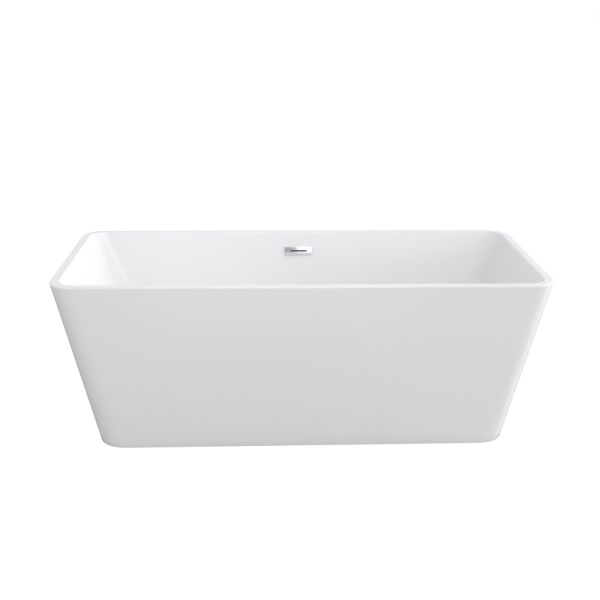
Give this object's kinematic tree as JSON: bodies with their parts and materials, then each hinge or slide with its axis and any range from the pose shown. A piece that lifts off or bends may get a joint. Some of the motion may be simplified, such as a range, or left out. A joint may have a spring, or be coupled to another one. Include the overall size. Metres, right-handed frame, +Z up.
{
  "type": "freestanding bathtub",
  "caption": "Double-ended freestanding bathtub with a flared skirt, flat rim, sloping basin, overflow with a slotted cover, pop-up waste and levelling feet.",
  "frame": {"origin": "on the floor, under the middle of the tub", "axes": "+X along the tub to the right, +Y from the front to the back, where the overflow is, +Z up"},
  "size_m": [1.7, 0.8, 0.6],
  "materials": {
    "white_acrylic": "polished",
    "adhesive": "cast",
    "plywood": "raw",
    "galvanised_steel": "galvanised",
    "zinc_fastener": "zinc plated",
    "chrome": "polished",
    "black_rubber": "moulded",
    "grey_plastic": "moulded",
    "black_plastic": "moulded"
  },
  "bodies": {
    "tub": {"base_board": "plywood", "basin": "white_acrylic", "board_screw_back_left": "zinc_fastener", "board_screw_back_right": "zinc_fastener", "board_screw_front_left": "zinc_fastener", "board_screw_front_right": "zinc_fastener", "bond_bead": "adhesive", "bracket_bolt_back_left": "zinc_fastener", "bracket_bolt_back_right": "zinc_fastener", "bracket_bolt_front_left": "zinc_fastener", "bracket_bolt_front_right": "zinc_fastener", "cross_rail_left": "galvanised_steel", "cross_rail_middle": "galvanised_steel", "cross_rail_right": "galvanised_steel", "drain_flange": "chrome", "drain_gasket": "black_rubber", "drain_locknut": "black_plastic", "drain_washer": "black_plastic", "foot_nut_back_left": "zinc_fastener", "foot_nut_back_right": "zinc_fastener", "foot_nut_front_left": "zinc_fastener", "foot_nut_front_right": "zinc_fastener", "foot_nut_middle": "zinc_fastener", "long_rail_back": "galvanised_steel", "long_rail_front": "galvanised_steel", "outer_skirt": "white_acrylic", "overflow_body": "grey_plastic", "overflow_frame": "grey_plastic", "overflow_gasket": "black_rubber", "overflow_pipe": "grey_plastic", "overflow_plate": "chrome", "overflow_screw_left": "zinc_fastener", "overflow_screw_right": "zinc_fastener", "pipe_nut_bottom": "black_plastic", "pipe_nut_top": "black_plastic", "rail_cap_back_left": "black_plastic", "rail_cap_back_right": "black_plastic", "rail_cap_front_left": "black_plastic", "rail_cap_front_right": "black_plastic", "skirt_bracket_back_left": "galvanised_steel", "skirt_bracket_back_right": "galvanised_steel", "skirt_bracket_front_left": "galvanised_steel", "skirt_bracket_front_right": "galvanised_steel", "tail_nut": "black_plastic", "tail_pipe": "grey_plastic", "waste_tee": "grey_plastic"},
    "foot_front_left": {"foot_pad_front_left": "black_plastic"},
    "stud_front_left": {"foot_stud_front_left": "zinc_fastener"},
    "foot_front_right": {"foot_pad_front_right": "black_plastic"},
    "stud_front_right": {"foot_stud_front_right": "zinc_fastener"},
    "foot_back_left": {"foot_pad_back_left": "black_plastic"},
    "stud_back_left": {"foot_stud_back_left": "zinc_fastener"},
    "foot_back_right": {"foot_pad_back_right": "black_plastic"},
    "stud_back_right": {"foot_stud_back_right": "zinc_fastener"},
    "foot_middle": {"foot_pad_middle": "black_plastic"},
    "stud_middle": {"foot_stud_middle": "zinc_fastener"},
    "stopper": {"stopper_cap": "chrome", "stopper_seal": "black_rubber", "stopper_stem": "zinc_fastener"}
  },
  "joints": [
    {"name": "foot_front_left_height", "type": "slide", "parent": "tub", "child": "foot_front_left", "axis": [0, 0, 1], "range_m": [-0.012, 0.01]},
    {"name": "foot_front_left_turn", "type": "hinge", "parent": "foot_front_left", "child": "stud_front_left", "pos_m": [-0.49951, -0.24231, 0.05], "axis": [0, 0, 1], "range_deg": [-2468.6, 2057.2]},
    {"name": "foot_front_right_height", "type": "slide", "parent": "tub", "child": "foot_front_right", "axis": [0, 0, 1], "range_m": [-0.012, 0.01]},
    {"name": "foot_front_right_turn", "type": "hinge", "parent": "foot_front_right", "child": "stud_front_right", "pos_m": [0.49951, -0.24231, 0.05], "axis": [0, 0, 1], "range_deg": [-2468.6, 2057.2]},
    {"name": "foot_back_left_height", "type": "slide", "parent": "tub", "child": "foot_back_left", "axis": [0, 0, 1], "range_m": [-0.012, 0.01]},
    {"name": "foot_back_left_turn", "type": "hinge", "parent": "foot_back_left", "child": "stud_back_left", "pos_m": [-0.49951, 0.24231, 0.05], "axis": [0, 0, 1], "range_deg": [-2468.6, 2057.2]},
    {"name": "foot_back_right_height", "type": "slide", "parent": "tub", "child": "foot_back_right", "axis": [0, 0, 1], "range_m": [-0.012, 0.01]},
    {"name": "foot_back_right_turn", "type": "hinge", "parent": "foot_back_right", "child": "stud_back_right", "pos_m": [0.49951, 0.24231, 0.05], "axis": [0, 0, 1], "range_deg": [-2468.6, 2057.2]},
    {"name": "foot_middle_height", "type": "slide", "parent": "tub", "child": "foot_middle", "axis": [0, 0, 1], "range_m": [-0.012, 0.01]},
    {"name": "foot_middle_turn", "type": "hinge", "parent": "foot_middle", "child": "stud_middle", "pos_m": [0.17, 0, 0.05], "axis": [0, 0, 1], "range_deg": [-2468.6, 2057.2]},
    {"name": "stopper_lift", "type": "slide", "parent": "tub", "child": "stopper", "axis": [0, 0, 1], "range_m": [0, 0.01]}
  ],
  "couplings": [
    {"joint": "foot_front_left_turn", "follows": "foot_front_left_height", "rad_per_m": 3590.4},
    {"joint": "foot_front_right_turn", "follows": "foot_front_right_height", "rad_per_m": 3590.4},
    {"joint": "foot_back_left_turn", "follows": "foot_back_left_height", "rad_per_m": 3590.4},
    {"joint": "foot_back_right_turn", "follows": "foot_back_right_height", "rad_per_m": 3590.4},
    {"joint": "foot_middle_turn", "follows": "foot_middle_height", "rad_per_m": 3590.4}
  ]
}
